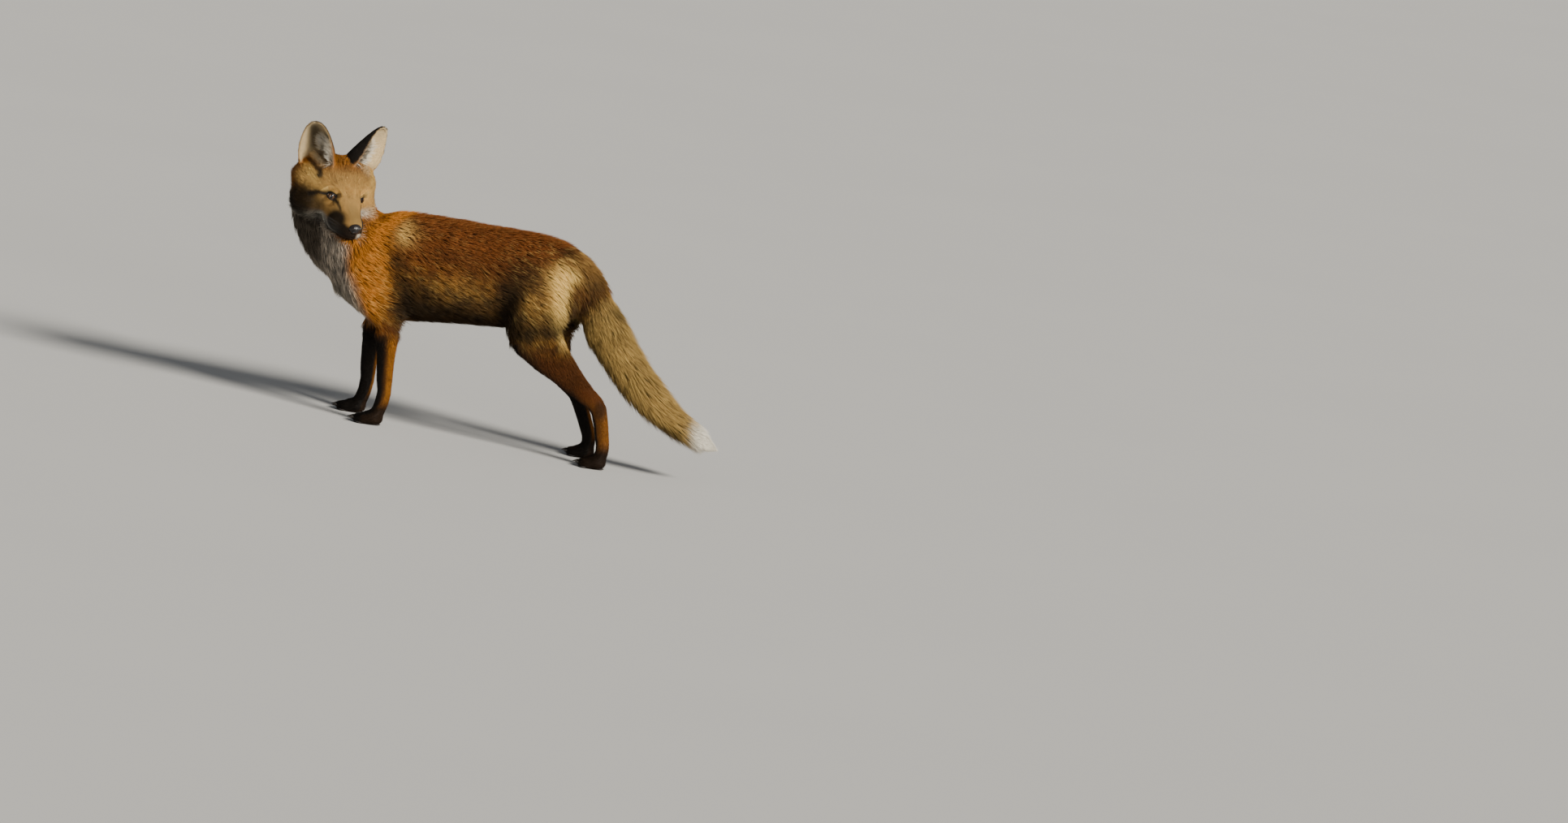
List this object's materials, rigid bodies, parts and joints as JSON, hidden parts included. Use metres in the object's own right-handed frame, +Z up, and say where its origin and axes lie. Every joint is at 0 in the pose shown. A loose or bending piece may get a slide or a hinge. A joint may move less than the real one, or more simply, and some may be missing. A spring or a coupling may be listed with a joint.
{
  "type": "red fox",
  "caption": "Young red fox as a still life-size model, standing on level ground and looking back over its left shoulder, with large ears, slim legs and a bushy lowered tail.",
  "frame": {"origin": "centre of the animal's bounding box at floor level, where its soles rest", "axes": "+Z up, +Y from the chest to the tail, +X to the animal's left; the muzzle is turned back towards +X and +Y"},
  "size_m": [0.201, 0.7678, 0.4828],
  "materials": {
    "rust_coat": "dense fur, matte",
    "tawny_coat": "long bushy fur, matte",
    "white_coat": "long white fur, matte",
    "black_coat": "short sleek fur, slight sheen",
    "nose_leather": "damp black skin",
    "eye": "wet, glossy, opaque"
  },
  "bodies": {
    "root": {"head": "rust_coat", "neck": "rust_coat", "trunk": "rust_coat", "tail_root": "tawny_coat", "tail_brush": "tawny_coat", "tail_tip": "white_coat", "ear_left": "black_coat", "ear_right": "black_coat", "front_left_leg": "black_coat", "front_left_paw": "black_coat", "front_right_leg": "black_coat", "front_right_paw": "black_coat", "hind_left_leg": "black_coat", "hind_left_paw": "black_coat", "hind_right_leg": "black_coat", "hind_right_paw": "black_coat", "nose": "nose_leather", "eye_left": "eye", "eye_right": "eye"}
  },
  "joints": []
}
